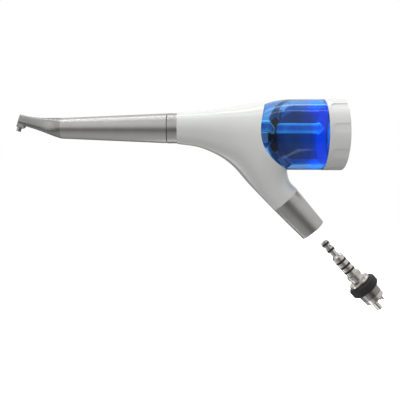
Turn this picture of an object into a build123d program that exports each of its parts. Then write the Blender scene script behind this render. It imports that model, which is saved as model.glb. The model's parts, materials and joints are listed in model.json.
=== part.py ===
"""Air-polishing dental handpiece: swivelling nozzle, powder bowl with screw cap, quick coupling.

The origin is on the handle axis, where the white housing meets its front collar.
+X runs along the handle towards the bowl's cap, +Z is up. Lengths are in millimetres.
"""
from build123d import *
from math import acos, cos, degrees, pi, radians, sin
import os

os.makedirs("parts", exist_ok=True)

# --- fits and clearances ---------------------------------------------------------------------
running_gap = 0.08          # radial gap of a shaft that turns in its bore
slide_gap = 0.1             # radial gap of a seal in the bore it slides through
half_loop_steps = 8         # points down one side of a lofted section
free_gap = 0.3              # gap between pieces that pass without touching
edge_break = 0.25
joint_gap = 0.3             # open line between the nozzle sleeve and the front collar

# --- handle: nozzle sleeve, collar, front joint -------------------------------------------------
collar_radius = 9.0
collar_length = 6.0
sleeve_rear_radius = 8.9
sleeve_front_radius = 6.2
sleeve_front_x = -69.0      # where the bent nozzle head begins
sleeve_wall = 1.2
plug_radius = 4.5
plug_end_x = 19.5
plug_flange_length = 3.7
plug_neck_length = 6.0
plug_neck_radius = 3.4
socket_wall = 1.9
socket_end_x = 24.0
nozzle_seal_xs = (4.0, 12.0)
nozzle_seal_wire = 0.48
groove_side_gap = 0.15
snap_ring_x = 17.0
snap_ring_inner = 3.95
snap_ring_outer = 4.85
snap_ring_width = 0.7
snap_ring_gap_width = 2.2

# --- nozzle head ----------------------------------------------------------------------------------
head_rise = 18.0            # slope of the bent beam and lean of the spout, degrees
head_corner_x = -93.5       # top front corner of the beam
head_corner_z = 8.2
beam_height = 5.8
beam_half_width = 2.5
head_boxiness = 4.5
head_register = 4.0         # length that goes inside the sleeve
spout_radius = 1.35
spout_length = 4.25
spout_setback = 1.45        # spout axis behind the beam's front face
spout_flare = 2.0
spout_trim = 0.05           # flare's front face behind the beam's front face
spout_side_trim = 0.2       # flare's flat sides inside the beam's sides
powder_tube_radius = 1.3
powder_tube_bore = 0.9
powder_tube_bend = 12.0
jacket_bore = 1.8
jacket_radius = 2.4
head_bore_radius = 1.6
jet_radius = 0.9
jet_bore = 0.45
jet_length = 3.2
jet_recess = 0.2

# --- housing --------------------------------------------------------------------------------------
housing_front_radius = 9.25
housing_wall = 1.8
front_boss_length = 6.0
arm_drop = 47.8             # angle of the lower arm below the handle, degrees
arm_joint_x = 65.2          # centre of the joint between the housing and the rear sleeve
arm_joint_z = -43.1
arm_radius = 9.15
seat_wall = 1.8
plenum_radius = 14.2        # hollow behind the bowl seat
plenum_length = 7.5
arm_bore_length = 52.0

# --- powder bowl ----------------------------------------------------------------------------------
bowl_drop = 3.9             # bowl axis below the handle axis
bowl_radius = 21.0
bowl_floor_x = 46.0
bowl_shoulder_x = 68.0      # where the rounded end turns into the straight wall
bowl_shoulder_length = 32.0
bowl_rim_x = 86.8
bowl_bore_radius = 17.8
bowl_chamber_x = 55.0
chamber_shoulder_x = 70.0
neck_radius = 19.6
neck_length = 6.7
bowl_spigot_radius = 9.0
bowl_spigot_length = 5.0
bowl_ring_radius = 11.5
bowl_ring_flange_radius = 13.2
bowl_ring_flange = 1.6
bowl_ring_overlap = 2.0     # how far the ring reaches over the manifold
gasket_thickness = 0.6
air_hole_radius = 0.8
air_hole_spacing = 3.0
air_hole_drop = 4.6         # air holes below the bowl axis

# --- manifold, riser pipe and tubes ---------------------------------------------------------------
manifold_length = 8.4
manifold_radius = 8.6
pipe_radius = 3.0
pipe_bore = 1.5
pipe_end_x = 81.7
pipe_depth = 4.6            # length of pipe held inside the manifold
tip_length = 6.4
tip_radius = 3.6
tip_collar = 1.0
tip_belly = 3.2
tip_nose_radius = 0.4
tip_hole_radius = 0.8
mixing_tube_radius = 2.5
water_tube_depth = 3.0
valve_x = 35.5
valve_bore_radius = 1.6
valve_top_z = -bowl_drop - 0.9
seat_top_z = -bowl_drop - 6.0
seat_height = 5.3
seat_nut_radius = 2.5
seat_nut_height = 2.6
seat_bore_radius = 0.8
seat_land = 0.25
ball_radius = 1.3
spring_wire = 0.22
spring_turns = 5
spring_radius = 1.15
air_tube_radius = 1.5
air_tube_bore = 0.9
water_tube_radius = 1.0
water_tube_bore = 0.6
water_tube_y = 4.0
water_tube_z = -3.0
water_tube_bend = 3.0
water_lead_length = 3.5
water_drop_x = 7.0
water_drop_z = 12.5
air_tube_bend = 4.0
air_tube_drop = 3.0
tube_socket_depth = 2.0
tube_lead_length = 8.0

# --- cap --------------------------------------------------------------------------------------------
cap_radius = 21.2
cap_length = 12.3
cap_end_wall = 2.5
cap_grip_count = 9
cap_grip_width = 5.3
cap_grip_depth = 0.5
cap_grip_margin = 2.0
cap_grip_turn = 4.3         # first grip above the horizontal, degrees
cap_edge_round = 1.0
cap_line = 0.15             # fine line between the bowl and the closed cap
cap_seal_thickness = 1.0
cap_seal_width = 3.0

# --- rear sleeve and socket ---------------------------------------------------------------------
sleeve_length = 24.3
sleeve_end_radius = 7.9
rear_wall = 1.3
mouth_round = 0.5
water_port_depth = 4.0
sleeve_lip = 3.0
socket_radius = 6.2
socket_front = -11.0
socket_flange_radius = 7.3
socket_flange_length = 3.0
lock_ring_length = 3.0
latch_ring_inner = 3.85
latch_ring_outer = 5.0
latch_ring_width = 0.7
latch_ring_gap_width = 1.6

# --- coupling, measured from its tip along the arm axis -----------------------------------------
coupling_gap = 0.3          # left between the sleeve's mouth and the seated adjusting ring
coupling_pull = 9.5         # distance from the sleeve's mouth to the coupling's tip when pulled out
tip_seal_ts = (1.5, 6.1)
tip_seal_outer = 2.6
tip_land_radius = 2.45
neck_t = 3.1
neck_end_t = 4.7
tip_neck_radius = 1.9
cone_start_t = 7.4
cone_end_t = 12.0
shoulder_t = 10.6
barrel_seal_ts = (15.3, 19.0, 22.6)
barrel_seal_outer = 3.65
barrel_land_radius = 3.5
seal_wire = 0.5
latch_groove_t = 24.2
latch_groove_width = 0.6
knurl_band_t = 25.9
knurl_band_end_t = 28.1
knurl_band_radius = 4.45
knurl_tooth_count = 30
knurl_tooth_depth = 0.18
stem_radius = 4.0
stem_end_t = 31.0
flange_radius = 6.7
flange_thickness = 1.5
adjust_ring_radius = 8.8
adjust_ring_length = 6.0
adjust_ring_chamfer = 1.2
adjust_ring_bore = 5.7
barrel_thread_length = 4.3
barrel_thread_radius = 6.5
barrel_thread_count = 6
barrel_thread_depth = 0.3
barrel_band_length = 3.0
barrel_band_radius = 6.2
latch_groove_depth = 0.4
cone_nose_radius = 2.3
band_seat_radius = 3.2
side_ports = ((3.9, 0.6, 40.0), (17.1, 0.45, 200.0), (20.8, 0.45, 10.0))
spigot_bore = 1.0
spigot_stub_radius = 3.0
spigot_stub_length = 6.0
exhaust_tube_radius = 1.8
exhaust_tube_bore = 1.3
exhaust_tube_length = 5.0
exhaust_root_radius = 1.6   # the tube's turned-down root, pressed into the barrel
supply_tube_radius = 0.65
supply_tube_bore = 0.4
supply_tube_length = 3.6
tube_pocket_depth = 2.5
bore_run_out = 2.0
tube_circle_radius = 3.7
exhaust_tube_angle = 215.0
supply_tube_angles = (5.0, 45.0, 85.0)

# --- derived frame --------------------------------------------------------------------------------
arm_direction = Vector(cos(radians(arm_drop)), 0, -sin(radians(arm_drop)))
arm_joint = Vector(arm_joint_x, 0, arm_joint_z)
coupling_tip = arm_joint + arm_direction * (sleeve_length + coupling_pull)
handle_side = Plane(origin=(0, 0, 0), x_dir=(1, 0, 0), z_dir=(0, -1, 0))
bowl_side = Plane(origin=(0, 0, -bowl_drop), x_dir=(1, 0, 0), z_dir=(0, 0, 1))
arm_side = Plane(origin=arm_joint, x_dir=arm_direction, z_dir=(0, -1, 0))
coupling_side = Plane(origin=coupling_tip, x_dir=arm_direction, z_dir=(0, -1, 0))

beam_direction = Vector(cos(radians(head_rise)), 0, -sin(radians(head_rise)))
spout_direction = Vector(-sin(radians(head_rise)), 0, -cos(radians(head_rise)))
head_corner = Vector(head_corner_x, 0, head_corner_z)
spout_root = head_corner + beam_direction * spout_setback + spout_direction * (beam_height / 2)
spout_end = spout_root + spout_direction * (beam_height / 2 + spout_length)
beam_start_x = spout_root.X + spout_root.Z / sin(radians(head_rise)) * cos(radians(head_rise))


def across(side, along):
    """Plane across the axis of a side plane, at a distance along that axis."""
    return Plane(origin=side.origin + side.x_dir * along, x_dir=(0, 1, 0), z_dir=side.x_dir)


def turned(side, *outline, mode=Mode.ADD):
    """Solid of revolution from (along, radius) corners about the side plane's X axis."""
    with BuildSketch(side) as profile:
        with BuildLine():
            Polyline(*outline, close=True)
        make_face()
    revolve(profile.sketch, axis=Axis(side.origin, side.x_dir), mode=mode)


def disc(plane, radius, length, mode=Mode.ADD):
    """Round bar that stands on a plane, or a round hole when mode is SUBTRACT."""
    with BuildSketch(plane) as face:
        Circle(radius)
    extrude(face.sketch, amount=length, mode=mode)


def seal_rings(side, positions, outer, wire):
    """O-rings at positions along an axis, flush with an outer radius."""
    for along in positions:
        with BuildSketch(side) as section:
            with Locations((along, outer - wire)):
                Circle(wire)
        revolve(section.sketch, axis=Axis(side.origin, side.x_dir))


def pipe(path, outer, inner=0, mode=Mode.ADD):
    """Tube along a path, or a solid bar when there is no inner radius."""
    start = Plane(origin=path @ 0, z_dir=path % 0)
    with BuildSketch(start) as section:
        Circle(outer)
        if inner:
            Circle(inner, mode=Mode.SUBTRACT)
    sweep(section.sketch, path=path, mode=mode)


def save(builder, name):
    """Label a finished piece and write it to its own file."""
    builder.part.label = name
    export_step(builder.part, f"parts/{name}.step")


def sleeve_radius_at(x):
    """Outer radius of the nozzle sleeve's cone."""
    share = (x + collar_length) / (sleeve_front_x + collar_length)
    return sleeve_rear_radius + (sleeve_front_radius - sleeve_rear_radius) * share


def rear_radius_at(s):
    """Outer radius of the rear sleeve's cone, at a distance from the housing joint."""
    return arm_radius + (sleeve_end_radius - arm_radius) * s / sleeve_length


def half_loop(half_width, half_height, power):
    """Points down the +Y side of a closed curve: an ellipse at power 2, boxier above."""
    points = []
    for step in range(half_loop_steps + 1):
        turn = pi * step / half_loop_steps
        up = 1 if step * 2 < half_loop_steps else -1
        points.append((half_width * sin(turn) ** (2 / power), up * half_height * abs(cos(turn)) ** (2 / power)))
    return points


def half_loft(planes_and_sizes, power_start, power_end):
    """The +Y half of a smooth body through (plane, half width, half height)."""
    sections = []
    last = len(planes_and_sizes) - 1
    for index, (plane, half_width, half_height) in enumerate(planes_and_sizes):
        power = power_start + (power_end - power_start) * index / last
        points = half_loop(half_width, half_height, power)
        with BuildSketch(plane) as section:
            with BuildLine():
                Spline(*points, tangents=((1, 0), (-1, 0)))
                Line(points[-1], points[0])
            make_face()
        sections.append(section.sketch)
    loft(sections)


# =====================================================================================================
# Housing: one smooth shell from the collar to the lower arm, with a scooped seat for the bowl
# =====================================================================================================
arm_up = Vector(sin(radians(arm_drop)), 0, cos(radians(arm_drop)))
arm_top = arm_joint + arm_up * arm_radius
arm_bottom = arm_joint - arm_up * arm_radius
# Each section: top X, Z, bottom X, Z, half width
housing_sections = (
    (0, housing_front_radius, 0, -housing_front_radius, housing_front_radius),
    (16, 10.3, 13, -11.2, 10.6),
    (33, 12.6, 25, -16.2, 13.6),
    (60, 15.2, 34, -22.7, 18.6),
    (66, 0, 42.5, -32.4, 18.4),
    (66, -27.6, 50.2, -40.7, 11.6),
    (arm_top.X, arm_top.Z, arm_bottom.X, arm_bottom.Z, arm_radius),
)
housing_steps = 3           # lofted sections for each row above
rim_cut_x = 110.0           # the cut above the rim runs past the cap and over the bowl
rim_cut_z = 40.0
rim_points = ((52.4, 20), (51.7, 15), (48.3, -1), (49.2, -10.6), (53.0, -17.4), (58.6, -22.2), (65, -25))


def blend(rows, place):
    """Smooth value between rows of numbers, where place counts rows from the first."""
    low = min(int(place), len(rows) - 2)
    before = rows[max(low - 1, 0)]
    after = rows[min(low + 2, len(rows) - 1)]
    part = place - low
    values = []
    for p0, p1, p2, p3 in zip(before, rows[low], rows[low + 1], after):
        slope_1 = (p2 - p0) / 2 if low else p2 - p1
        slope_2 = (p3 - p1) / 2 if low < len(rows) - 2 else p2 - p1
        bend = 2 * (p1 - p2) + slope_1 + slope_2
        values.append(p1 + slope_1 * part + (p2 - p1 - slope_1 - bend) * part ** 2 + bend * part ** 3)
    return values


def housing_body():
    """Smooth body through the housing sections."""
    sections = []
    steps = (len(housing_sections) - 1) * housing_steps
    for step in range(steps + 1):
        top_x, top_z, bottom_x, bottom_z, half_width = blend(housing_sections, step / housing_steps)
        rise = Vector(top_x - bottom_x, 0, top_z - bottom_z)
        middle = Vector((top_x + bottom_x) / 2, 0, (top_z + bottom_z) / 2)
        plane = Plane(origin=middle, x_dir=(0, 1, 0), z_dir=(rise.Z, 0, -rise.X))
        sections.append((plane, half_width, rise.length / 2))
    half_loft(sections, 2, 2)
    mirror(about=Plane.XZ)


def bowl_form(growth, back_x):
    """Outer form of the bowl as a solid, grown by a gap or a wall; back_x is its flat end."""
    shoulder = bowl_shoulder_length + growth
    radius = bowl_radius + growth
    corner_radius = radius * (1 - ((bowl_shoulder_x - back_x) / shoulder) ** 2) ** 0.5
    back_angle = degrees(acos((back_x - bowl_shoulder_x) / shoulder))
    with BuildSketch(bowl_side) as profile:
        with BuildLine():
            Line((back_x, 0), (back_x, corner_radius))
            EllipticalCenterArc((bowl_shoulder_x, 0), shoulder, radius, 90, arc_size=back_angle - 90)
            Polyline((bowl_shoulder_x, radius), (bowl_rim_x, radius), (bowl_rim_x, 0), (back_x, 0))
        make_face()
    revolve(profile.sketch, axis=Axis(bowl_side.origin, bowl_side.x_dir))


cup_back_x = bowl_floor_x - seat_wall
spigot_end_x = bowl_floor_x - bowl_spigot_length

with BuildPart() as bowl_solid:
    bowl_form(0, bowl_floor_x)

with BuildPart() as cup_solid:
    bowl_form(seat_wall, cup_back_x)

with BuildPart() as housing_void:
    turned(handle_side, (front_boss_length, 0), (front_boss_length, housing_front_radius - housing_wall),
           (cup_back_x, plenum_radius - edge_break), (cup_back_x, 0))
    disc(across(arm_side, -socket_flange_length), socket_flange_radius, -arm_bore_length)
    disc(across(bowl_side, cup_back_x - plenum_length), plenum_radius, plenum_length)
    add(cup_solid.part, mode=Mode.SUBTRACT)

with BuildPart() as housing_shell:
    housing_body()
    add(housing_void.part, mode=Mode.SUBTRACT)
    with BuildSketch(handle_side) as above_rim:
        with BuildLine():
            Spline(*rim_points)
            Polyline(rim_points[-1], (rim_cut_x, rim_points[-1][1]), (rim_cut_x, rim_cut_z),
                     (rim_points[0][0], rim_cut_z), rim_points[0])
        make_face()
    extrude(above_rim.sketch, amount=2 * bowl_radius, both=True, mode=Mode.SUBTRACT)
    add(bowl_solid.part, mode=Mode.SUBTRACT)
    disc(across(handle_side, 0), plug_radius + running_gap + socket_wall, front_boss_length,
         mode=Mode.SUBTRACT)
    disc(across(bowl_side, cup_back_x), bowl_ring_radius, seat_wall, mode=Mode.SUBTRACT)
    disc(across(arm_side, 0), socket_flange_radius, -socket_flange_length, mode=Mode.SUBTRACT)
save(housing_shell, "housing_shell")
# =====================================================================================================
# Front collar and the socket that the nozzle turns in
# =====================================================================================================
socket_bore = plug_radius + running_gap
socket_outer = socket_bore + socket_wall
socket_wall_x = plug_end_x + free_gap

with BuildPart() as front_collar:
    disc(across(handle_side, -collar_length), collar_radius, collar_length)
    disc(across(handle_side, -collar_length), socket_outer, collar_length, mode=Mode.SUBTRACT)
    outer_edges = front_collar.edges().filter_by(GeomType.CIRCLE).group_by(SortBy.RADIUS)[-1]
    chamfer(outer_edges.sort_by(Axis.X)[0], length=edge_break)
save(front_collar, "front_collar")

with BuildPart() as front_socket:
    disc(across(handle_side, -collar_length), socket_outer, collar_length + socket_end_x)
    disc(across(handle_side, -collar_length), socket_bore, collar_length + socket_wall_x, mode=Mode.SUBTRACT)
    disc(across(handle_side, snap_ring_x - snap_ring_width / 2 - groove_side_gap),
         snap_ring_outer + free_gap, snap_ring_width + 2 * groove_side_gap, mode=Mode.SUBTRACT)
    disc(across(handle_side, socket_wall_x), mixing_tube_radius, socket_end_x, mode=Mode.SUBTRACT)
    with BuildSketch(across(handle_side, socket_end_x)) as water_hole:
        with Locations((water_tube_y, water_tube_z)):
            Circle(water_tube_radius)
    extrude(water_hole.sketch, amount=-water_tube_depth, mode=Mode.SUBTRACT)
    with BuildSketch(across(handle_side, socket_end_x)) as water_drilling:
        with Locations((water_tube_y, water_tube_z)):
            Circle(water_tube_bore)
    extrude(water_drilling.sketch, amount=socket_wall_x - socket_end_x, mode=Mode.SUBTRACT)
save(front_socket, "front_socket")

# =====================================================================================================
# Powder bowl: thick clear wall, rounded back end, round chamber, threaded neck
# =====================================================================================================
neck_end_x = bowl_rim_x + neck_length
manifold_front_x = spigot_end_x - gasket_thickness
manifold_back_x = manifold_front_x - manifold_length
pipe_root_x = manifold_front_x - pipe_depth
air_hole_ys = (-air_hole_spacing, 0, air_hole_spacing)

with BuildPart() as powder_bowl:
    bowl_form(0, bowl_floor_x)
    disc(across(bowl_side, bowl_rim_x), neck_radius, neck_length)
    disc(across(bowl_side, spigot_end_x), bowl_spigot_radius, bowl_spigot_length)
    disc(across(bowl_side, chamber_shoulder_x), bowl_bore_radius, neck_end_x - chamber_shoulder_x,
         mode=Mode.SUBTRACT)
    with BuildSketch(bowl_side) as dome:
        with BuildLine():
            EllipticalCenterArc((chamber_shoulder_x, 0), chamber_shoulder_x - bowl_chamber_x,
                                bowl_bore_radius, 90, arc_size=90)
            Polyline((bowl_chamber_x, 0), (chamber_shoulder_x, 0), (chamber_shoulder_x, bowl_bore_radius))
        make_face()
    revolve(dome.sketch, axis=Axis(bowl_side.origin, bowl_side.x_dir), mode=Mode.SUBTRACT)
    disc(across(handle_side, spigot_end_x), pipe_radius, bowl_bore_radius, mode=Mode.SUBTRACT)
    with BuildSketch(across(bowl_side, spigot_end_x)) as air_holes:
        with Locations(*[(y, -air_hole_drop) for y in air_hole_ys]):
            Circle(air_hole_radius)
    extrude(air_holes.sketch, amount=bowl_bore_radius, mode=Mode.SUBTRACT)
save(powder_bowl, "powder_bowl")

with BuildPart() as bowl_ring:
    disc(across(bowl_side, cup_back_x - bowl_ring_flange), bowl_ring_flange_radius, bowl_ring_flange)
    disc(across(bowl_side, spigot_end_x - bowl_ring_overlap), bowl_ring_radius,
         bowl_spigot_length + bowl_ring_overlap)
    disc(across(bowl_side, spigot_end_x - bowl_ring_overlap), bowl_spigot_radius,
         bowl_spigot_length + bowl_ring_overlap, mode=Mode.SUBTRACT)
save(bowl_ring, "bowl_ring")

with BuildPart() as manifold_gasket:
    disc(across(bowl_side, manifold_front_x), manifold_radius, gasket_thickness)
    disc(across(handle_side, manifold_front_x), pipe_radius, gasket_thickness, mode=Mode.SUBTRACT)
    with BuildSketch(across(bowl_side, manifold_front_x)) as gasket_slot:
        with Locations((0, -air_hole_drop)):
            SlotCenterToCenter(2 * air_hole_spacing, 2 * air_hole_radius)
    extrude(gasket_slot.sketch, amount=gasket_thickness, mode=Mode.SUBTRACT)
save(manifold_gasket, "manifold_gasket")

# =====================================================================================================
# Manifold: joins the riser pipe to the mixing tube and lets air through a ball valve into the bowl
# =====================================================================================================
with BuildPart() as manifold:
    disc(across(bowl_side, manifold_back_x), manifold_radius, manifold_length)
    disc(across(handle_side, manifold_back_x), mixing_tube_radius, manifold_length, mode=Mode.SUBTRACT)
    disc(across(handle_side, pipe_root_x), pipe_radius, manifold_length, mode=Mode.SUBTRACT)
    with BuildSketch(across(bowl_side, valve_x)) as air_gallery:
        with Locations((0, -air_hole_drop)):
            SlotCenterToCenter(2 * air_hole_spacing, 2 * air_hole_radius)
    extrude(air_gallery.sketch, amount=manifold_length, mode=Mode.SUBTRACT)
    with BuildSketch(Plane((valve_x, 0, valve_top_z))) as valve_bore:
        Circle(valve_bore_radius)
    extrude(valve_bore.sketch, amount=-2 * manifold_radius, mode=Mode.SUBTRACT)
save(manifold, "manifold")

valve_side = Plane(origin=(valve_x, 0, 0), x_dir=(0, 0, 1), z_dir=(0, -1, 0))
ball_z = seat_top_z + (ball_radius ** 2 - (seat_bore_radius + seat_land) ** 2) ** 0.5 + running_gap
seat_foot_z = seat_top_z - seat_height

with BuildPart() as valve_seat:
    turned(valve_side, (seat_foot_z, air_tube_radius), (seat_foot_z + tube_socket_depth, air_tube_radius),
           (seat_foot_z + tube_socket_depth, seat_bore_radius), (seat_top_z - seat_land, seat_bore_radius),
           (seat_top_z, seat_bore_radius + seat_land), (seat_top_z, valve_bore_radius),
           (seat_foot_z + seat_nut_height, valve_bore_radius), (seat_foot_z + seat_nut_height, seat_nut_radius),
           (seat_foot_z, seat_nut_radius))
save(valve_seat, "valve_seat")

with BuildPart() as valve_ball:
    with Locations((valve_x, 0, ball_z)):
        Sphere(ball_radius)
save(valve_ball, "valve_ball")

spring_foot_z = ball_z + (ball_radius ** 2 - spring_radius ** 2) ** 0.5 + spring_wire + running_gap
spring_height = valve_top_z - spring_wire - spring_foot_z

with BuildPart() as valve_spring:
    with BuildLine(Plane((valve_x, 0, spring_foot_z))) as spring_path:
        Helix(pitch=spring_height / spring_turns, height=spring_height, radius=spring_radius)
    with BuildSketch(Plane(origin=spring_path.line @ 0, z_dir=spring_path.line % 0)) as wire_section:
        Circle(spring_wire)
    sweep(wire_section.sketch, path=spring_path.line)
save(valve_spring, "valve_spring")

with BuildPart() as riser_pipe:
    disc(across(handle_side, pipe_root_x), pipe_radius, pipe_end_x - pipe_root_x)
    disc(across(handle_side, pipe_root_x), pipe_bore, pipe_end_x - pipe_root_x, mode=Mode.SUBTRACT)
save(riser_pipe, "riser_pipe")

with BuildPart() as intake_tip:
    turned(handle_side, (pipe_end_x, pipe_bore), (pipe_end_x, pipe_radius), (pipe_end_x + tip_collar, pipe_radius),
           (pipe_end_x + tip_belly, tip_radius), (pipe_end_x + tip_length, tip_nose_radius),
           (pipe_end_x + tip_length, 0), (pipe_end_x + tip_belly, 0), (pipe_end_x + tip_belly, pipe_bore))
    with BuildSketch(Plane.XY) as cross_hole:
        with Locations((pipe_end_x + tip_belly - pipe_bore, 0)):
            Circle(tip_hole_radius)
    extrude(cross_hole.sketch, amount=2 * tip_radius, both=True, mode=Mode.SUBTRACT)
save(intake_tip, "intake_tip")

with BuildPart() as mixing_tube:
    disc(across(handle_side, socket_wall_x), mixing_tube_radius, pipe_root_x - socket_wall_x)
    disc(across(handle_side, socket_wall_x), pipe_bore, pipe_root_x - socket_wall_x, mode=Mode.SUBTRACT)
save(mixing_tube, "mixing_tube")

# =====================================================================================================
# Air and water tubes inside the housing
# =====================================================================================================
socket_nose = arm_joint + arm_direction * socket_front
tube_end = socket_nose + arm_direction * tube_socket_depth
tube_lead = socket_nose - arm_direction * tube_lead_length

with BuildPart() as air_tube:
    with BuildLine() as air_route:
        FilletPolyline((valve_x, 0, seat_foot_z + tube_socket_depth), (valve_x, 0, seat_foot_z - air_tube_drop),
                       tube_lead, tube_end, radius=air_tube_bend)
    pipe(air_route.line, air_tube_radius, air_tube_bore)
save(air_tube, "air_tube")

water_side_step = Vector(0, water_tube_y, 0)
with BuildPart() as water_tube:
    with BuildLine() as water_route:
        FilletPolyline((socket_end_x - water_tube_depth, water_tube_y, water_tube_z),
                       (socket_end_x + water_lead_length, water_tube_y, water_tube_z),
                       (socket_end_x + water_drop_x, water_tube_y, -water_drop_z),
                       tube_lead + water_side_step, tube_end + water_side_step, radius=water_tube_bend)
    pipe(water_route.line, water_tube_radius, water_tube_bore)
save(water_tube, "water_tube")

# =====================================================================================================
# Screw cap and its seal
# =====================================================================================================
cap_thread_radius = neck_radius + free_gap

with BuildPart() as cap:
    disc(across(bowl_side, bowl_rim_x + cap_line), cap_radius, cap_length - cap_line)
    outer_edges = cap.edges().filter_by(GeomType.CIRCLE).sort_by(Axis.X)
    fillet(outer_edges[-1], radius=cap_edge_round)
    disc(across(bowl_side, bowl_rim_x), cap_thread_radius, neck_length + cap_seal_thickness, mode=Mode.SUBTRACT)
    disc(across(bowl_side, bowl_rim_x), neck_radius - cap_seal_width, cap_length - cap_end_wall,
         mode=Mode.SUBTRACT)
    for grip in range(cap_grip_count):
        turn = radians(cap_grip_turn) + 2 * pi * grip / cap_grip_count
        outward = Vector(0, -cos(turn), sin(turn))
        grip_start_x = bowl_rim_x + cap_grip_margin
        grip_plane = Plane(origin=bowl_side.origin + Vector(grip_start_x, 0, 0) + outward * cap_radius,
                           x_dir=(1, 0, 0), z_dir=outward)
        with BuildSketch(grip_plane) as grip_sketch:
            with Locations((cap_length, 0)):
                SlotOverall(2 * cap_length, cap_grip_width)
        extrude(grip_sketch.sketch, amount=-cap_grip_depth, mode=Mode.SUBTRACT)
save(cap, "cap")

with BuildPart() as cap_seal:
    disc(across(bowl_side, neck_end_x), neck_radius, cap_seal_thickness)
    disc(across(bowl_side, neck_end_x), neck_radius - cap_seal_width, cap_seal_thickness, mode=Mode.SUBTRACT)
save(cap_seal, "cap_seal")

# =====================================================================================================
# Nozzle: bent head, sleeve, plug with seals, and the tubes inside
# =====================================================================================================
sleeve_back_x = -collar_length - joint_gap
plug_flange_x = sleeve_back_x - plug_flange_length
plug_neck_x = plug_flange_x - plug_neck_length

with BuildPart() as front_sleeve:
    turned(handle_side, (sleeve_back_x, sleeve_rear_radius), (sleeve_front_x, sleeve_front_radius),
           (sleeve_front_x, sleeve_front_radius - sleeve_wall), (sleeve_back_x, sleeve_rear_radius - sleeve_wall))
save(front_sleeve, "front_sleeve")

with BuildPart() as nozzle_plug:
    turned(handle_side, (sleeve_back_x, 0), (sleeve_back_x, sleeve_radius_at(sleeve_back_x) - sleeve_wall),
           (plug_flange_x, sleeve_radius_at(plug_flange_x) - sleeve_wall), (plug_flange_x, plug_neck_radius),
           (plug_neck_x, plug_neck_radius), (plug_neck_x, 0))
    disc(across(handle_side, sleeve_back_x), plug_radius, plug_end_x - sleeve_back_x)
    for seal_x in nozzle_seal_xs:
        groove = across(handle_side, seal_x - nozzle_seal_wire - groove_side_gap)
        with BuildSketch(groove) as groove_ring:
            Circle(plug_radius)
            Circle(plug_radius - 2 * nozzle_seal_wire, mode=Mode.SUBTRACT)
        extrude(groove_ring.sketch, amount=2 * (nozzle_seal_wire + groove_side_gap), mode=Mode.SUBTRACT)
    with BuildSketch(across(handle_side, snap_ring_x - snap_ring_width / 2)) as ring_groove:
        Circle(plug_radius)
        Circle(snap_ring_inner, mode=Mode.SUBTRACT)
    extrude(ring_groove.sketch, amount=snap_ring_width, mode=Mode.SUBTRACT)
    disc(across(handle_side, plug_neck_x), powder_tube_radius, plug_end_x - plug_neck_x, mode=Mode.SUBTRACT)
    disc(across(handle_side, plug_neck_x), jacket_radius, plug_neck_length, mode=Mode.SUBTRACT)
save(nozzle_plug, "nozzle_plug")

with BuildPart() as nozzle_seals:
    seal_rings(handle_side, nozzle_seal_xs, plug_radius, nozzle_seal_wire)
save(nozzle_seals, "nozzle_seals")

with BuildPart() as snap_ring:
    disc(across(handle_side, snap_ring_x - snap_ring_width / 2), snap_ring_outer, snap_ring_width)
    disc(across(handle_side, snap_ring_x - snap_ring_width / 2), snap_ring_inner, snap_ring_width,
         mode=Mode.SUBTRACT)
    with BuildSketch(across(handle_side, snap_ring_x)) as ring_opening:
        with Locations((0, snap_ring_outer)):
            Rectangle(snap_ring_gap_width, snap_ring_outer)
    extrude(ring_opening.sketch, amount=snap_ring_width, both=True, mode=Mode.SUBTRACT)
save(snap_ring, "snap_ring")

# --- the head: a round root that turns into a flat-sided beam, then a small spout ----------------
beam_end = head_corner + spout_direction * (beam_height / 2)
# Each section: centre (X, Z), slope in degrees, half width, half height
head_sections = (
    (sleeve_front_x, 0, 0, sleeve_front_radius, sleeve_front_radius),
    (-73.5, 0.65, 4, 5.4, 5.4),
    (-79.0, 1.75, 11, 4.0, 4.3),
    (-86.0, 3.2, 16, 3.0, 3.3),
    (beam_end.X, beam_end.Z, head_rise, beam_half_width, beam_height / 2),
)

with BuildLine() as powder_route:
    FilletPolyline((plug_end_x - powder_tube_radius, 0, 0), (beam_start_x, 0, 0),
                   spout_root + beam_direction * jet_radius, radius=powder_tube_bend)
with BuildLine() as head_bore_route:
    FilletPolyline((sleeve_front_x, 0, 0), (beam_start_x, 0, 0), spout_root, radius=powder_tube_bend)

with BuildPart() as spout:
    spout_side = Plane(origin=spout_root, x_dir=spout_direction, z_dir=(0, -1, 0))
    with BuildSketch(spout_side) as spout_half:
        with BuildLine():
            Polyline((0, 0), (beam_height / 2 + spout_length, 0), (beam_height / 2 + spout_length, spout_radius),
                     (beam_height / 2 + spout_flare, spout_radius))
            RadiusArc((beam_height / 2 + spout_flare, spout_radius), (beam_height / 2, spout_radius + spout_flare),
                      -spout_flare)
            Polyline((beam_height / 2, spout_radius + spout_flare), (0, spout_radius + spout_flare), (0, 0))
        make_face()
    revolve(spout_half.sketch, axis=Axis(spout_root, spout_direction))
    flare_reach = spout_radius + spout_flare
    flare_front = spout_setback - spout_trim
    with BuildSketch(Plane(origin=spout_root, x_dir=beam_direction, z_dir=spout_direction)) as spout_outline:
        with Locations(((flare_reach - flare_front) / 2, 0)):
            Rectangle(flare_reach + flare_front, 2 * (beam_half_width - spout_side_trim))
    extrude(spout_outline.sketch, amount=beam_height + spout_length, mode=Mode.INTERSECT)

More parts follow.
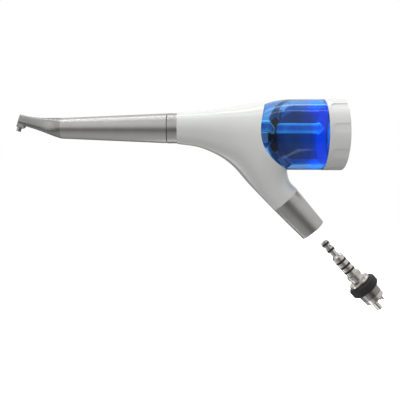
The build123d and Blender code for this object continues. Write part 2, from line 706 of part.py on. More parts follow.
with BuildPart() as nozzle_head:
    head_planes = []
    for centre_x, centre_z, slope, half_width, half_height in head_sections:
        forward = Vector(-cos(radians(slope)), 0, sin(radians(slope)))
        plane = Plane(origin=(centre_x, 0, centre_z), x_dir=(0, 1, 0), z_dir=forward)
        head_planes.append((plane, half_width, half_height))
    half_loft(head_planes, 2, head_boxiness)
    disc(across(handle_side, sleeve_front_x), sleeve_front_radius - sleeve_wall, head_register)
    add(spout.part)
    disc(across(handle_side, sleeve_front_x), jacket_radius, head_register, mode=Mode.SUBTRACT)
    pipe(head_bore_route.line, head_bore_radius, mode=Mode.SUBTRACT)
    disc(Plane(origin=spout_root, z_dir=spout_direction), jet_radius, beam_height + spout_length,
         mode=Mode.SUBTRACT)
    with BuildSketch(Plane.XZ) as other_half:
        Rectangle(4 * abs(head_corner_x), 4 * sleeve_rear_radius)
    extrude(other_half.sketch, amount=2 * sleeve_rear_radius, mode=Mode.SUBTRACT)
    mirror(about=Plane.XZ)
save(nozzle_head, "nozzle_head")

with BuildPart() as powder_tube:
    pipe(powder_route.line, powder_tube_radius, powder_tube_bore)
save(powder_tube, "powder_tube")

with BuildPart() as jacket_tube:
    disc(across(handle_side, sleeve_front_x), jacket_radius, plug_flange_x - sleeve_front_x)
    disc(across(handle_side, sleeve_front_x), jacket_bore, plug_flange_x - sleeve_front_x, mode=Mode.SUBTRACT)
save(jacket_tube, "jacket_tube")

with BuildPart() as jet_insert:
    jet_plane = Plane(origin=spout_end - spout_direction * jet_length, z_dir=spout_direction)
    disc(jet_plane, jet_radius, jet_length - jet_recess)
    disc(jet_plane, jet_bore, jet_length, mode=Mode.SUBTRACT)
save(jet_insert, "jet_insert")

# =====================================================================================================
# Rear sleeve and the socket that takes the coupling
# =====================================================================================================
seated_shift = sleeve_length + coupling_gap - (stem_end_t + flange_thickness)
deep_bore = tip_seal_outer + slide_gap
barrel_bore = barrel_seal_outer + slide_gap
mouth_bore = flange_radius + free_gap
band_bore = knurl_band_radius + slide_gap
socket_end_s = seated_shift + stem_end_t - free_gap
latch_s = seated_shift + latch_groove_t

with BuildPart() as rear_sleeve:
    turned(arm_side, (0, arm_radius), (sleeve_length, sleeve_end_radius), (sleeve_length, mouth_bore),
           (socket_end_s, mouth_bore), (socket_end_s, socket_radius), (sleeve_length - sleeve_lip * 2,
           socket_radius), (sleeve_length - sleeve_lip * 2, rear_radius_at(sleeve_length) - rear_wall),
           (sleeve_lip, rear_radius_at(sleeve_lip) - rear_wall), (sleeve_lip, socket_radius), (0, socket_radius))
    rim_edges = rear_sleeve.edges().filter_by(GeomType.CIRCLE).sort_by(Axis(arm_joint, arm_direction))[-2:]
    fillet(rim_edges.sort_by(SortBy.RADIUS)[-1], radius=mouth_round)
save(rear_sleeve, "rear_sleeve")

with BuildPart() as rear_socket:
    disc(across(arm_side, socket_front), socket_radius, socket_end_s - socket_front)
    disc(across(arm_side, -socket_flange_length), socket_flange_radius, socket_flange_length)
    disc(across(arm_side, seated_shift - free_gap), deep_bore, socket_end_s, mode=Mode.SUBTRACT)
    disc(across(arm_side, seated_shift + cone_start_t - free_gap), barrel_bore, socket_end_s, mode=Mode.SUBTRACT)
    disc(across(arm_side, seated_shift + knurl_band_t - free_gap), band_bore, socket_end_s, mode=Mode.SUBTRACT)
    disc(across(arm_side, latch_s - latch_ring_width / 2 - groove_side_gap), latch_ring_outer + free_gap,
         latch_ring_width + 2 * groove_side_gap, mode=Mode.SUBTRACT)
    disc(across(arm_side, socket_front), air_tube_radius, tube_socket_depth, mode=Mode.SUBTRACT)
    disc(across(arm_side, socket_front), air_tube_bore, seated_shift - socket_front, mode=Mode.SUBTRACT)
    for hole_radius, hole_depth in ((water_tube_radius, tube_socket_depth), (water_tube_bore, water_port_depth)):
        with BuildSketch(across(arm_side, socket_front)) as water_port:
            with Locations((water_tube_y, 0)):
                Circle(hole_radius)
        extrude(water_port.sketch, amount=hole_depth, mode=Mode.SUBTRACT)
save(rear_socket, "rear_socket")

with BuildPart() as lock_ring:
    lock_plane = across(arm_side, -socket_flange_length - lock_ring_length)
    disc(lock_plane, socket_flange_radius, lock_ring_length)
    disc(lock_plane, socket_radius, lock_ring_length, mode=Mode.SUBTRACT)
save(lock_ring, "lock_ring")

with BuildPart() as latch_ring:
    latch_plane = across(arm_side, latch_s - latch_ring_width / 2)
    disc(latch_plane, latch_ring_outer, latch_ring_width)
    disc(latch_plane, latch_ring_inner, latch_ring_width, mode=Mode.SUBTRACT)
    with BuildSketch(latch_plane) as latch_opening:
        with Locations((0, latch_ring_outer)):
            Rectangle(latch_ring_gap_width, latch_ring_outer)
    extrude(latch_opening.sketch, amount=latch_ring_width, mode=Mode.SUBTRACT)
save(latch_ring, "latch_ring")

# =====================================================================================================
# Quick coupling, drawn pulled out of its socket
# =====================================================================================================
flange_end_t = stem_end_t + flange_thickness
barrel_start_t = flange_end_t
thread_start_t = barrel_start_t + adjust_ring_length + 2 * groove_side_gap
band_start_t = thread_start_t + barrel_thread_length
coupling_end_t = band_start_t + barrel_band_length
stub_end_t = flange_end_t + spigot_stub_length


def seal_groove(along, outer, wire):
    """Square groove that an O-ring lies in."""
    with BuildSketch(across(coupling_side, along - wire - groove_side_gap)) as ring:
        Circle(outer)
        Circle(outer - 2 * wire, mode=Mode.SUBTRACT)
    extrude(ring.sketch, amount=2 * (wire + groove_side_gap), mode=Mode.SUBTRACT)


with BuildPart() as coupling_spigot:
    turned(coupling_side, (0, 0), (0, tip_land_radius - edge_break), (edge_break, tip_land_radius),
           (neck_t, tip_land_radius), (neck_t, tip_neck_radius), (neck_end_t, tip_neck_radius),
           (neck_end_t, tip_land_radius), (cone_start_t, tip_land_radius), (cone_start_t, tip_neck_radius),
           (shoulder_t, tip_neck_radius), (shoulder_t, cone_nose_radius), (cone_end_t, barrel_land_radius),
           (latch_groove_t - latch_groove_width / 2, barrel_land_radius),
           (latch_groove_t - latch_groove_width / 2, barrel_land_radius - latch_groove_depth),
           (latch_groove_t + latch_groove_width / 2, barrel_land_radius - latch_groove_depth),
           (latch_groove_t + latch_groove_width / 2, barrel_land_radius), (knurl_band_t, barrel_land_radius),
           (knurl_band_t, band_seat_radius), (knurl_band_end_t, band_seat_radius),
           (knurl_band_end_t, stem_radius), (stem_end_t - latch_groove_width, stem_radius),
           (stem_end_t - latch_groove_width, barrel_land_radius), (stem_end_t, barrel_land_radius),
           (stem_end_t, spigot_stub_radius), (stub_end_t, spigot_stub_radius), (stub_end_t, 0))
    for along in tip_seal_ts:
        seal_groove(along, tip_seal_outer, seal_wire)
    for along in barrel_seal_ts:
        seal_groove(along, barrel_seal_outer, seal_wire)
    disc(across(coupling_side, 0), spigot_bore, stub_end_t, mode=Mode.SUBTRACT)
    for port_t, port_radius, port_turn in side_ports:
        port_side = Vector(0, -cos(radians(port_turn)), 0) + arm_up * sin(radians(port_turn))
        port_plane = Plane(origin=coupling_tip + arm_direction * port_t, z_dir=port_side)
        disc(port_plane, port_radius, stem_radius, mode=Mode.SUBTRACT)
save(coupling_spigot, "coupling_spigot")

with BuildPart() as tip_seals:
    seal_rings(coupling_side, tip_seal_ts, tip_seal_outer, seal_wire)
save(tip_seals, "tip_seals")

with BuildPart() as barrel_seals:
    seal_rings(coupling_side, barrel_seal_ts, barrel_seal_outer, seal_wire)
save(barrel_seals, "barrel_seals")

with BuildPart() as knurl_band:
    disc(across(coupling_side, knurl_band_t), knurl_band_radius, knurl_band_end_t - knurl_band_t)
    disc(across(coupling_side, knurl_band_t), band_seat_radius, knurl_band_end_t - knurl_band_t,
         mode=Mode.SUBTRACT)
    with BuildSketch(across(coupling_side, knurl_band_t + edge_break)) as teeth:
        with PolarLocations(knurl_band_radius, knurl_tooth_count):
            Rectangle(2 * knurl_tooth_depth, knurl_tooth_depth * 2)
    extrude(teeth.sketch, amount=knurl_band_end_t - knurl_band_t - 2 * edge_break, mode=Mode.SUBTRACT)
save(knurl_band, "knurl_band")

with BuildPart() as ring_retainer:
    disc(across(coupling_side, stem_end_t), flange_radius, flange_thickness)
    disc(across(coupling_side, stem_end_t), spigot_stub_radius, flange_thickness, mode=Mode.SUBTRACT)
    retainer_edges = ring_retainer.edges().filter_by(GeomType.CIRCLE).group_by(SortBy.RADIUS)[-1]
    chamfer(retainer_edges, length=edge_break)
save(ring_retainer, "ring_retainer")

with BuildPart() as adjust_ring:
    ring_plane = across(coupling_side, flange_end_t + groove_side_gap)
    disc(ring_plane, adjust_ring_radius, adjust_ring_length)
    ring_edges = adjust_ring.edges().filter_by(GeomType.CIRCLE)
    chamfer(ring_edges, length=adjust_ring_chamfer)
    disc(ring_plane, adjust_ring_bore, adjust_ring_length, mode=Mode.SUBTRACT)
save(adjust_ring, "adjust_ring")

# --- barrel: journal for the adjusting ring, ribbed grip, plain band, pockets for the tubes --------
barrel_end_plane = across(coupling_side, coupling_end_t)
supply_spots = [(tube_circle_radius * cos(radians(turn)), tube_circle_radius * sin(radians(turn)))
                for turn in supply_tube_angles]
exhaust_spot = (tube_circle_radius * cos(radians(exhaust_tube_angle)),
                tube_circle_radius * sin(radians(exhaust_tube_angle)))

with BuildPart() as coupling_barrel:
    disc(across(coupling_side, barrel_start_t), adjust_ring_bore - running_gap, thread_start_t - barrel_start_t)
    disc(across(coupling_side, thread_start_t), barrel_thread_radius, barrel_thread_length)
    disc(across(coupling_side, band_start_t), barrel_band_radius, barrel_band_length)
    band_edge = coupling_barrel.edges().filter_by(GeomType.CIRCLE).sort_by(Axis(arm_joint, arm_direction))[-1]
    chamfer(band_edge, length=2 * edge_break)
    rib_pitch = barrel_thread_length / barrel_thread_count
    for rib in range(barrel_thread_count):
        turned(coupling_side, (thread_start_t + rib * rib_pitch, barrel_thread_radius + edge_break),
               (thread_start_t + (rib + 1) * rib_pitch, barrel_thread_radius + edge_break),
               (thread_start_t + (rib + 0.5) * rib_pitch, barrel_thread_radius - barrel_thread_depth),
               mode=Mode.SUBTRACT)
    disc(across(coupling_side, barrel_start_t), spigot_stub_radius, spigot_stub_length, mode=Mode.SUBTRACT)
    disc(across(coupling_side, stub_end_t), spigot_bore, bore_run_out, mode=Mode.SUBTRACT)
    with BuildSketch(barrel_end_plane) as supply_pockets:
        with Locations(*supply_spots):
            Circle(supply_tube_radius)
    extrude(supply_pockets.sketch, amount=-tube_pocket_depth, mode=Mode.SUBTRACT)
    with BuildSketch(barrel_end_plane) as exhaust_pocket:
        with Locations(exhaust_spot):
            Circle(exhaust_root_radius)
    extrude(exhaust_pocket.sketch, amount=-tube_pocket_depth, mode=Mode.SUBTRACT)
save(coupling_barrel, "coupling_barrel")

with BuildPart() as exhaust_tube:
    with BuildSketch(barrel_end_plane.offset(-tube_pocket_depth)) as exhaust_root:
        with Locations(exhaust_spot):
            Circle(exhaust_root_radius)
            Circle(exhaust_tube_bore, mode=Mode.SUBTRACT)
    extrude(exhaust_root.sketch, amount=tube_pocket_depth)
    with BuildSketch(barrel_end_plane) as exhaust_ring:
        with Locations(exhaust_spot):
            Circle(exhaust_tube_radius)
            Circle(exhaust_tube_bore, mode=Mode.SUBTRACT)
    extrude(exhaust_ring.sketch, amount=exhaust_tube_length)
save(exhaust_tube, "exhaust_tube")

with BuildPart() as supply_tubes:
    with BuildSketch(barrel_end_plane.offset(-tube_pocket_depth)) as supply_rings:
        with Locations(*supply_spots):
            Circle(supply_tube_radius)
            Circle(supply_tube_bore, mode=Mode.SUBTRACT)
    extrude(supply_rings.sketch, amount=tube_pocket_depth + supply_tube_length)
save(supply_tubes, "supply_tubes")
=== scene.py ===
"""Looks of an air-polishing dental handpiece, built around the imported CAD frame.

Metres. +X runs along the handle towards the bowl's cap and +Z is up.
"""
import json
from math import cos, pi, radians, sin

import bmesh
import bpy
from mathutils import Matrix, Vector


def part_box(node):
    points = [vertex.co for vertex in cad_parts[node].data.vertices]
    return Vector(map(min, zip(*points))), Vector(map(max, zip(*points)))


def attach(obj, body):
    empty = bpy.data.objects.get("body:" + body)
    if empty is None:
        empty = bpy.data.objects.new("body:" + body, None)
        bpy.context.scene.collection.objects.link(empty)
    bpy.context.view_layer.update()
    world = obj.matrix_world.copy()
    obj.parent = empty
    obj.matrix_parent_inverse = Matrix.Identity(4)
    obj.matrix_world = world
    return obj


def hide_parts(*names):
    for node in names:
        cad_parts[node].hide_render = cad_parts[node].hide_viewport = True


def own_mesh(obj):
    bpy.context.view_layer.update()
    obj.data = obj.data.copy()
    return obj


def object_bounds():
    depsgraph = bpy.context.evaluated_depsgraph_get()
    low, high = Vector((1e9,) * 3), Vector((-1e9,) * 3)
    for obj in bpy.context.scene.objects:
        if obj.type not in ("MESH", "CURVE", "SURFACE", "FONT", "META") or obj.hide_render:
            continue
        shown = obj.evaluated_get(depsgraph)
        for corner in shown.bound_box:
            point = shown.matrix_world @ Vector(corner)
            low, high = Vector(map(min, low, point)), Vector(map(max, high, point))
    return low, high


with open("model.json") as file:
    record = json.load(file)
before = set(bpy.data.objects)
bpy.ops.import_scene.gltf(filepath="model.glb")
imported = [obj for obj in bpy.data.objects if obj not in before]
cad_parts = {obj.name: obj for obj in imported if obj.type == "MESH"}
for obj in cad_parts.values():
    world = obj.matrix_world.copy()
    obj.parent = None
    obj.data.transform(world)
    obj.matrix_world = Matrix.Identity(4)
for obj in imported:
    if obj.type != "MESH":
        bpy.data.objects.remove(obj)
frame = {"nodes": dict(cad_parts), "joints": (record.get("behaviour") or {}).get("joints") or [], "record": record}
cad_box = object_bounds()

MM = 0.001

# --- directions and places that the frame gives ---------------------------------------------------
nodes = frame["nodes"]
joints = {joint["name"]: joint for joint in frame["joints"]}
origin = (0, 0, 0)
x_axis = (1, 0, 0)
z_axis = (0, 0, 1)
arm_axis = Vector(joints["coupling_slide"]["axis"])
ring_centre = Vector(joints["adjust_ring_turn"]["pos_m"])
pipe_low, pipe_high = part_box("riser_pipe")
pipe_axis_z = (pipe_low.z + pipe_high.z) / 2
pipe_radius = (pipe_high.z - pipe_low.z) / 2
cap_low, cap_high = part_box("cap")
cap_axis_z = (cap_low.z + cap_high.z) / 2
cap_radius = (cap_high.z - cap_low.z) / 2

# --- node helpers ---------------------------------------------------------------------------------
MIX_SHARE, MIX_FIRST, MIX_SECOND = 0, 6, 7      # the Mix node's sockets for colours
MIX_COLOUR = 2
FINE_GRAIN = 0.02 * MM      # heights of the bumps
SOFT_WAVES = 0.03 * MM


class Look:
    """A procedural material being built: short calls for the nodes it needs."""

    def __init__(self, name):
        self.material = bpy.data.materials.new(name)
        self.material.use_nodes = True
        self.tree = self.material.node_tree
        self.surface = self.tree.nodes["Principled BSDF"]
        self.coordinates = self.tree.nodes.new("ShaderNodeTexCoord").outputs["Object"]

    def node(self, kind, inputs=None, **settings):
        made = self.tree.nodes.new("ShaderNode" + kind)
        for key, value in settings.items():
            setattr(made, key, value)
        for key, value in (inputs or {}).items():
            self.feed(made.inputs[key], value)
        return made

    def feed(self, socket, value):
        if isinstance(value, bpy.types.NodeSocket):
            self.tree.links.new(value, socket)
        else:
            socket.default_value = value

    def set(self, **values):
        """Values on the shader's own sockets; an underscore stands for a space."""
        for key, value in values.items():
            self.feed(self.surface.inputs[key.replace("_", " ")], value)

    def math(self, operation, first, second=0.0, third=0.0):
        return self.node("Math", {0: first, 1: second, 2: third}, operation=operation).outputs[0]

    def vectors(self, operation, first, second=(0, 0, 0)):
        return self.node("VectorMath", {0: first, 1: second}, operation=operation)

    def noise(self, scale, detail=3.0, roughness=0.5, stretch=None):
        vector = self.coordinates
        if stretch:
            vector = self.node("Mapping", {"Vector": vector, "Scale": stretch}).outputs[0]
        inputs = {"Vector": vector, "Scale": scale, "Detail": detail, "Roughness": roughness}
        return self.node("TexNoise", inputs).outputs["Fac"]

    def ramp(self, value, low, high, low_out, high_out):
        """The value's place between low and high, carried over to the range of the two outs."""
        inputs = {"Value": value, "From Min": low, "From Max": high, "To Min": low_out, "To Max": high_out}
        return self.node("MapRange", inputs).outputs[0]

    def mix(self, share, first, second):
        inputs = {MIX_SHARE: share, MIX_FIRST: first, MIX_SECOND: second}
        return self.node("Mix", inputs, data_type="RGBA").outputs[MIX_COLOUR]

    def along(self, direction, origin):
        """Distance of a surface point along a direction from an origin, in metres."""
        shifted = self.vectors("SUBTRACT", self.coordinates, tuple(origin)).outputs[0]
        return self.vectors("DOT_PRODUCT", shifted, tuple(direction)).outputs["Value"]

    def bump(self, height, strength, distance):
        inputs = {"Height": height, "Strength": strength, "Distance": distance}
        self.set(Normal=self.node("Bump", inputs).outputs[0])


def colour(red, green, blue):
    return (red, green, blue, 1.0)


def turned_metal(name, axis, start, base, dark, roughness, ribs=None, ring_strength=0.05):
    """Metal finished on a lathe: fine rings about an axis, a slow drift of colour and a fine grain.

    Ribs are given as their first and last place along the axis, and their pitch. The grooves between them are
    darkened in the colour as painted shade."""
    look = Look(name)
    place = look.along(axis, start)
    ring_noise = {"W": place, "Scale": 3200.0, "Detail": 4.0, "Roughness": 0.65}
    rings = look.node("TexNoise", ring_noise, noise_dimensions="1D").outputs["Fac"]
    cloud = look.noise(120.0, detail=4.0, roughness=0.6)
    fine = look.noise(1800.0, detail=2.0)
    shade = look.mix(look.ramp(cloud, 0.2, 0.85, 0.25, 1.0), dark, base)
    if ribs:
        first, last, pitch = ribs
        from_first = look.math("SUBTRACT", place, first)
        wave = look.math("SINE", look.math("MULTIPLY", from_first, 2 * pi / pitch))
        after_first = look.math("GREATER_THAN", place, first)
        before_last = look.math("LESS_THAN", place, last)
        ribbed = look.math("MULTIPLY", after_first, before_last)
        # painted shade: the colour is darkened in the grooves between the ribs
        painted_groove_shade = look.math("MULTIPLY", look.ramp(wave, -0.2, 0.6, 0.0, 0.85), ribbed)
        shade = look.mix(painted_groove_shade, shade, colour(0.09, 0.08, 0.08))
    look.set(Base_Color=shade)
    grain = look.math("MULTIPLY_ADD", fine, 0.05, roughness - 0.075)
    grain = look.math("MULTIPLY_ADD", rings, 0.10, grain)
    look.set(Roughness=look.math("MULTIPLY_ADD", cloud, 0.05, grain))
    look.set(Metallic=1.0)
    look.bump(rings, ring_strength, FINE_GRAIN)
    return look.material


def moulded_plastic(name, base, shade, roughness, coat, coat_roughness=0.06, painted_glow_inside=None):
    """Glossy moulded plastic: faint waviness, dust-fine texture and a slow drift of colour.

    The inside of a thin-walled white part is given a painted glow, which stands in for daylight coming through the
    wall. The inside is given as the height of the part's axis in X, the radius it reaches to and the X that it
    ends at."""
    look = Look(name)
    drift = look.noise(28.0, detail=2.0)
    fine = look.noise(2400.0, detail=2.0, roughness=0.6)
    smudge = look.noise(140.0, detail=5.0, roughness=0.62)
    look.set(Base_Color=look.mix(look.ramp(drift, 0.35, 0.65, 0.0, 1.0), shade, base))
    look.set(Roughness=look.math("MULTIPLY_ADD", smudge, 0.07, roughness - 0.03))
    look.set(Coat_Weight=coat, Coat_Roughness=coat_roughness, IOR=1.49)
    if painted_glow_inside:
        axis_z, inner_radius, end_x = painted_glow_inside
        from_axis = look.vectors("SUBTRACT", look.coordinates, (0, 0, axis_z)).outputs[0]
        across = look.vectors("MULTIPLY", from_axis, (0, 1, 1)).outputs[0]
        radius = look.vectors("LENGTH", across).outputs["Value"]
        within_radius = look.math("LESS_THAN", radius, inner_radius)
        before_end = look.math("LESS_THAN", look.along(x_axis, (end_x, 0, 0)), 0.0)
        inside = look.math("MULTIPLY", within_radius, before_end)
        # painted glow: the part's inside emits light, though it is no lamp
        look.set(Emission_Color=look.mix(inside, colour(0, 0, 0), colour(1, 1, 1)), Emission_Strength=0.7)
    look.bump(look.math("MULTIPLY_ADD", fine, 0.35, smudge), 0.05, SOFT_WAVES)
    return look.material


def rubber(name):
    """Black moulded rubber with a fine grain and a pale bloom in places."""
    look = Look(name)
    grain = look.noise(3200.0, roughness=0.6)
    bloom = look.noise(260.0, roughness=0.6)
    black, dusty = colour(0.012, 0.012, 0.013), colour(0.035, 0.035, 0.037)
    look.set(Base_Color=look.mix(look.ramp(bloom, 0.4, 0.8, 0.0, 0.5), black, dusty))
    look.set(Roughness=look.ramp(grain, 0.3, 0.7, 0.42, 0.62))
    look.bump(grain, 0.15, FINE_GRAIN)
    return look.material


def clear_plastic(name, tint, deep, roughness, clear, painted_shade_until=None, tube=None):
    """Tinted clear plastic that lets light through, with faint scratches along X.

    A deeper colour, painted shade, shows before a place in X. A tube, given as the height of its axis and its
    radius, gets a painted glow in place of the light it gathers, brightest along its top and bottom as painted
    highlights."""
    look = Look(name)
    haze = look.noise(90.0, roughness=0.55)
    if painted_shade_until:
        # painted shade: the colour stays deep before the given X, whatever the light
        place = look.along(x_axis, (painted_shade_until, 0, 0))
        past = look.ramp(place, -4 * MM, 4 * MM, 0.2, 1.0)
        haze = look.math("MULTIPLY_ADD", haze, 0.25, past)
    scratch = look.noise(1500.0, detail=2.0, stretch=(0.15, 1.0, 1.0))
    look.set(Base_Color=look.mix(look.ramp(haze, 0.35, 0.7, 0.0, 1.0), deep, tint))
    look.set(Roughness=look.math("MULTIPLY_ADD", scratch, 0.03, roughness))
    look.set(Transmission_Weight=clear, IOR=1.32, Coat_Weight=0.4)
    if tube:
        axis_z, radius = tube
        # painted glow with painted highlights: emission brightest along the tube's top and bottom
        height = look.math("DIVIDE", look.along(z_axis, (0, 0, axis_z)), radius)
        top = look.ramp(height, 0.35, 0.85, 0.0, 1.0)
        bottom = look.ramp(height, -0.35, -0.85, 0.0, 0.35)
        dim, bright = colour(0.0, 0.08, 0.16), colour(0.2, 0.85, 0.75)
        look.set(Emission_Color=look.mix(look.math("ADD", top, bottom), dim, bright), Emission_Strength=2.2)
    look.bump(scratch, 0.03, FINE_GRAIN)
    return look.material


# --- materials ------------------------------------------------------------------------------------
ring_half_length = 3.0 * MM
ring_gap = 0.15 * MM            # between the adjusting ring and the barrel's ribs
barrel_thread = 4.3 * MM        # length of the ribbed grip behind the adjusting ring
rib_count = 6
ribs_start = ring_half_length + ring_gap
barrel_ribs = (ribs_start, ribs_start + barrel_thread, barrel_thread / rib_count)
bowl_painted_shade_until = 80 * MM       # the bowl is painted a deeper colour before this X, towards its closed end, as painted shade
cap_skin = 0.8 * MM             # the outer layers of the cap's skirt and end wall, which don't glow
cap_end_skin = 1.5 * MM
# the region of the cap that gets the painted glow
cap_inside = (cap_axis_z, cap_radius - cap_skin, cap_high.x - cap_end_skin)

# name, axis, a point on it, colour, darker colour, roughness and anything special
metals = {
    "sleeve_metal": ("satin_sleeve", x_axis, origin, (0.66, 0.65, 0.64), (0.55, 0.54, 0.53), 0.30, {}),
    "head_metal": ("satin_head", x_axis, origin, (0.46, 0.455, 0.45), (0.40, 0.395, 0.39), 0.24,
                   {"ring_strength": 0.02}),
    "satin_metal": ("satin_collar", x_axis, origin, (0.60, 0.59, 0.58), (0.48, 0.47, 0.46), 0.26, {}),
    "rear_metal": ("satin_rear", arm_axis, ring_centre, (0.60, 0.59, 0.57), (0.47, 0.46, 0.44), 0.27, {}),
    "nickel": ("bright_nickel", arm_axis, ring_centre, (0.80, 0.77, 0.72), (0.68, 0.65, 0.62), 0.12,
               {"ring_strength": 0.06}),
    "barrel_nickel": ("barrel_nickel", arm_axis, ring_centre, (0.78, 0.76, 0.73), (0.64, 0.62, 0.60), 0.14,
                      {"ribs": barrel_ribs}),
    "steel": ("inner_steel", x_axis, origin, (0.62, 0.62, 0.62), (0.45, 0.45, 0.45), 0.22, {}),
    "brass": ("inner_brass", x_axis, origin, (0.70, 0.55, 0.30), (0.55, 0.42, 0.22), 0.25, {}),
    "carbide": ("ground_carbide", x_axis, origin, (0.22, 0.22, 0.24), (0.14, 0.14, 0.15), 0.30, {}),
}
looks = {}
for slot, (name, axis, point, base, dark, roughness, special) in metals.items():
    looks[slot] = turned_metal(name, axis, point, colour(*base), colour(*dark), roughness, **special)
looks["white_plastic"] = moulded_plastic("white_housing", colour(0.80, 0.81, 0.78), colour(0.76, 0.77, 0.755),
                                         roughness=0.18, coat=0.5)
looks["cap_plastic"] = moulded_plastic("white_cap", colour(0.78, 0.79, 0.765), colour(0.735, 0.745, 0.73),
                                       roughness=0.24, coat=0.3, coat_roughness=0.12, painted_glow_inside=cap_inside)
looks["rubber"] = rubber("black_rubber")
looks["black_ring"] = rubber("black_ring")
looks["clear_blue"] = clear_plastic("clear_blue_bowl", colour(0.004, 0.20, 0.86), colour(0.05, 0.17, 0.42),
                                    roughness=0.02, clear=0.95, painted_shade_until=bowl_painted_shade_until)
looks["clear_blue_pipe"] = clear_plastic("clear_blue_pipe", colour(0.30, 0.92, 1.0), colour(0.02, 0.25, 0.60),
                                         roughness=0.10, clear=0.30, tube=(pipe_axis_z, pipe_radius))
pale_seal = moulded_plastic("pale_seal", colour(0.80, 0.82, 0.84), colour(0.72, 0.75, 0.78),
                            roughness=0.4, coat=0.0)
slot_of = {row["node"]: row["material_slot"] for row in frame["record"]["subparts"]}
for node_name, piece in nodes.items():
    piece.data.materials.clear()
    piece.data.materials.append(pale_seal if node_name == "cap_seal" else looks[slot_of[node_name]])

# --- the ball valve's spring, as its own copy carried by the handpiece ----------------------------
spring = bpy.data.objects.new("valve_coil", nodes["valve_spring"].data.copy())
bpy.context.scene.collection.objects.link(spring)
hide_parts("valve_spring")
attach(spring, "handpiece")
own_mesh(spring)

# --- the cap's liner: a pale disc with a painted glow against its end wall, seen through the bowl's mouth ---
cap_end_wall = 2.5 * MM
liner_gap = 0.15 * MM
liner_back_x = cap_high.x - cap_end_wall - liner_gap
liner_segments = 96
# (radius, thickness) from the centre to the rim, in mm: a thick middle, and a raised seat for the bowl
liner_profile = ((0.0, 0.9), (6.0, 0.9), (7.0, 0.6), (14.6, 0.6), (15.4, 1.1), (16.1, 1.0), (16.4, 0.0))
liner_mesh = bmesh.new()
rows = []
for radius, thickness in liner_profile:
    row = []
    for step in range(liner_segments if radius else 1):
        turn = 2 * pi * step / liner_segments
        y = radius * MM * cos(turn)
        z = cap_axis_z + radius * MM * sin(turn)
        row.append(liner_mesh.verts.new((liner_back_x - thickness * MM, y, z)))
    rows.append(row)
front_centre = rows[0][0]
back_centre = liner_mesh.verts.new((liner_back_x, 0.0, cap_axis_z))
for step in range(liner_segments):
    after = (step + 1) % liner_segments
    liner_mesh.faces.new((front_centre, rows[1][after], rows[1][step]))
    for inner, outer in zip(rows[1:], rows[2:]):
        liner_mesh.faces.new((inner[step], inner[after], outer[after], outer[step]))
    liner_mesh.faces.new((back_centre, rows[-1][step], rows[-1][after]))
bmesh.ops.recalc_face_normals(liner_mesh, faces=liner_mesh.faces)
liner_data = bpy.data.meshes.new("cap_liner")
liner_mesh.to_mesh(liner_data)
liner_mesh.free()
for face in liner_data.polygons:
    face.use_smooth = True
liner = bpy.data.objects.new("cap_liner", liner_data)
bpy.context.scene.collection.objects.link(liner)
liner_look = Look("lit_liner")
liner_cloud = liner_look.noise(180.0)
liner_shade = liner_look.mix(liner_cloud, colour(0.70, 0.78, 0.86), colour(0.82, 0.88, 0.94))
liner_look.set(Base_Color=liner_shade, Roughness=liner_look.ramp(liner_cloud, 0.3, 0.7, 0.35, 0.5))
# painted glow: the liner emits light, though it is no lamp
liner_look.set(Emission_Color=colour(0.75, 0.85, 1.0), Emission_Strength=0.55)
liner_data.materials.append(liner_look.material)
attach(liner, "cap")

# --- studio: pale floor and backdrop, soft lights ---------------------------------------------------
world = bpy.data.worlds.new("studio")
bpy.context.scene.world = world
bpy.context.scene.view_settings.view_transform = "Standard"
world.use_nodes = True
world_tree = world.node_tree
backdrop = world_tree.nodes["Background"]
direction = world_tree.nodes.new("ShaderNodeTexCoord").outputs["Generated"]
height = world_tree.nodes.new("ShaderNodeSeparateXYZ")
world_tree.links.new(direction, height.inputs[0])
unit = world_tree.nodes.new("ShaderNodeMapRange")
unit.inputs["From Min"].default_value = -1.0
world_tree.links.new(height.outputs["Z"], unit.inputs["Value"])
soft_box = world_tree.nodes.new("ShaderNodeValToRGB")
soft_box.color_ramp.interpolation = "EASE"
# (share of the way from straight down to straight up, brightness) of the studio around the object
studio_levels = ((0.0, 0.46), (0.14, 0.36), (0.30, 0.15), (0.44, 0.20),
                 (0.56, 0.62), (0.80, 0.76), (1.0, 0.62))
ramp_points = soft_box.color_ramp.elements
points_at_first = len(ramp_points)
for index, (place, level) in enumerate(studio_levels):
    point = ramp_points[index] if index < points_at_first else ramp_points.new(place)
    point.position = place
    point.color = colour(level, level, level)
world_tree.links.new(unit.outputs[0], soft_box.inputs[0])
seen = world_tree.nodes.new("ShaderNodeLightPath").outputs["Is Camera Ray"]
white_behind = world_tree.nodes.new("ShaderNodeMix")
white_behind.data_type = "RGBA"
white_behind.inputs[MIX_SECOND].default_value = colour(1.0, 1.0, 1.0)
world_tree.links.new(seen, white_behind.inputs[MIX_SHARE])
world_tree.links.new(soft_box.outputs[0], white_behind.inputs[MIX_FIRST])
world_tree.links.new(white_behind.outputs[MIX_COLOUR], backdrop.inputs["Color"])
backdrop.inputs["Strength"].default_value = 1.0

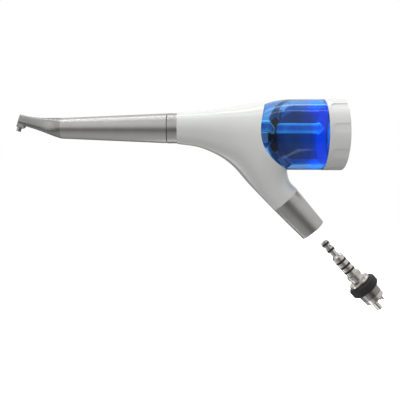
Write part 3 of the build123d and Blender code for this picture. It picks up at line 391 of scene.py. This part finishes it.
low, high = (Vector(corner) for corner in cad_box)
middle = (low + high) / 2
floor_z = low.z - 120 * MM
floor_reach = 3.0
quarters = ((-1, -1), (1, -1), (1, 1), (-1, 1))
floor_corners = [(floor_reach * x, floor_reach * y, floor_z) for x, y in quarters]
floor_mesh = bpy.data.meshes.new("floor")
floor_mesh.from_pydata(floor_corners, [], [(0, 1, 2, 3)])
floor = bpy.data.objects.new("floor", floor_mesh)
bpy.context.scene.collection.objects.link(floor)
floor_look = Look("pale_floor")
floor_shade = floor_look.mix(floor_look.noise(6.0), colour(0.90, 0.90, 0.90), colour(0.93, 0.93, 0.93))
floor_look.set(Base_Color=floor_shade, Roughness=0.9)
floor_look.set(Emission_Color=colour(1.0, 1.0, 1.0), Emission_Strength=0.6)
floor_mesh.materials.append(floor_look.material)
floor.visible_glossy = False
floor.visible_diffuse = False


def panel_light(name, place, target, size, power, mirrored):
    """A rectangular soft box that points at a target, and shows in reflections or not."""
    data = bpy.data.lights.new(name, "AREA")
    data.shape = "RECTANGLE"
    data.size, data.size_y = size
    data.energy = power
    lamp = bpy.data.objects.new(name, data)
    lamp.location = place
    lamp.visible_glossy = mirrored
    lamp.visible_camera = False
    lamp.rotation_euler = (Vector(target) - Vector(place)).to_track_quat("-Z", "Y").to_euler()
    bpy.context.scene.collection.objects.link(lamp)


# name, place from the object's middle, (width, depth), watts, whether it shows in reflections
soft_boxes = (
    ("overhead", (-0.02, 0.08, 0.55), (0.9, 0.07), 0.55, True),
    ("front_high", (0.0, -0.13, 0.52), (0.8, 0.03), 0.20, True),
    ("under", (0.02, 0.01, -0.17), (0.4, 0.02), 0.035, True),
    ("left", (-0.55, -0.30, 0.10), (0.20, 0.5), 0.25, True),
    ("front_fill", (0.0, -0.60, 0.18), (0.9, 0.6), 0.9, False),
)
for name, place, size, watts, mirrored in soft_boxes:
    panel_light(name, middle + Vector(place), middle, size, watts, mirrored)
panel_light("floor_wash", (0.0, 0.9, floor_z + 1.2), (0.0, 0.3, floor_z), (2.5, 2.0), 26.0, mirrored=False)

# --- camera: square to the symmetry plane -----------------------------------------------------------
camera_data = bpy.data.cameras.new("camera")
camera_data.lens = 50.0
camera_data.sensor_width = 36.0
camera = bpy.data.objects.new("camera", camera_data)
camera.location = (0.0137, -0.3333, -0.0430)
camera.rotation_euler = (radians(90), 0, 0)
bpy.context.scene.collection.objects.link(camera)
bpy.context.scene.camera = camera
